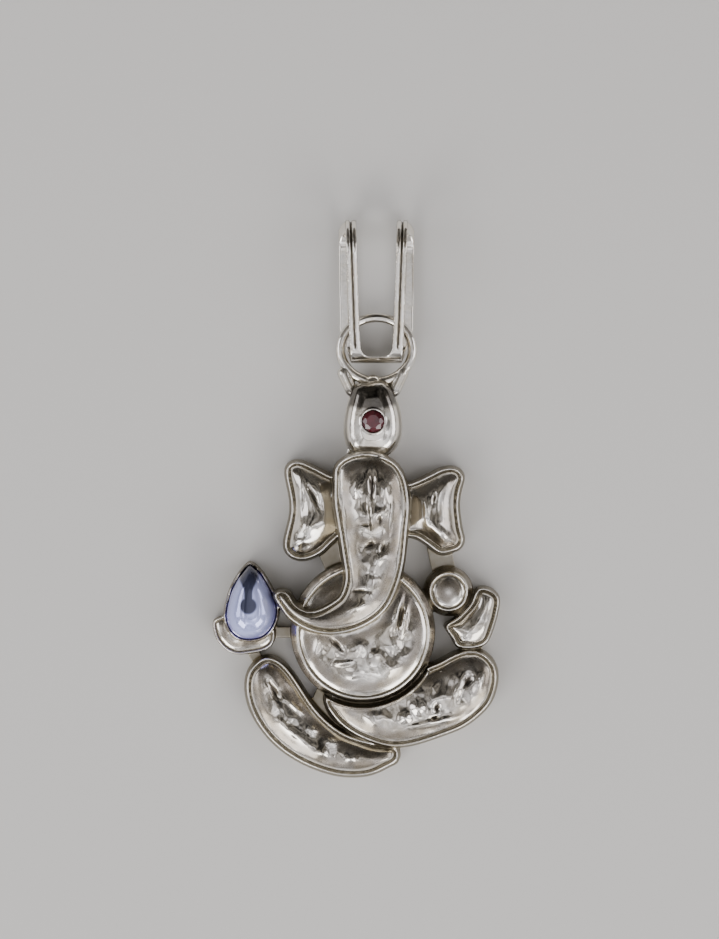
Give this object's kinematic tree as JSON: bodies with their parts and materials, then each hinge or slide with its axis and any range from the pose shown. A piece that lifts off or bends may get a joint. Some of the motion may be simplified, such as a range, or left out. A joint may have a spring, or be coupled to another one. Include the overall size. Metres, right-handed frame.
{
  "type": "ganesha pendant",
  "caption": "Cast silver elephant-headed figure pendant with raised rimmed fields, a red stone in its crown, a violet sweet in a cup and a hairpin bail on a ring.",
  "frame": {"origin": "on the flat back, under the middle of the belly", "axes": "+X to the viewer's right, +Y up the figure to the bail, +Z out of the front; it lies on its back"},
  "size_m": [0.0231, 0.0446, 0.0052],
  "materials": {
    "silver": "polished cast silver, darker in its grooves",
    "bail_silver": "polished silver strip, worn at the bend",
    "red_stone": "faceted dark red stone",
    "violet_glaze": "glossy violet-blue"
  },
  "bodies": {
    "root": {"figure": "silver", "bail": "bail_silver", "crown_stone": "red_stone", "modak": "violet_glaze"}
  },
  "joints": []
}
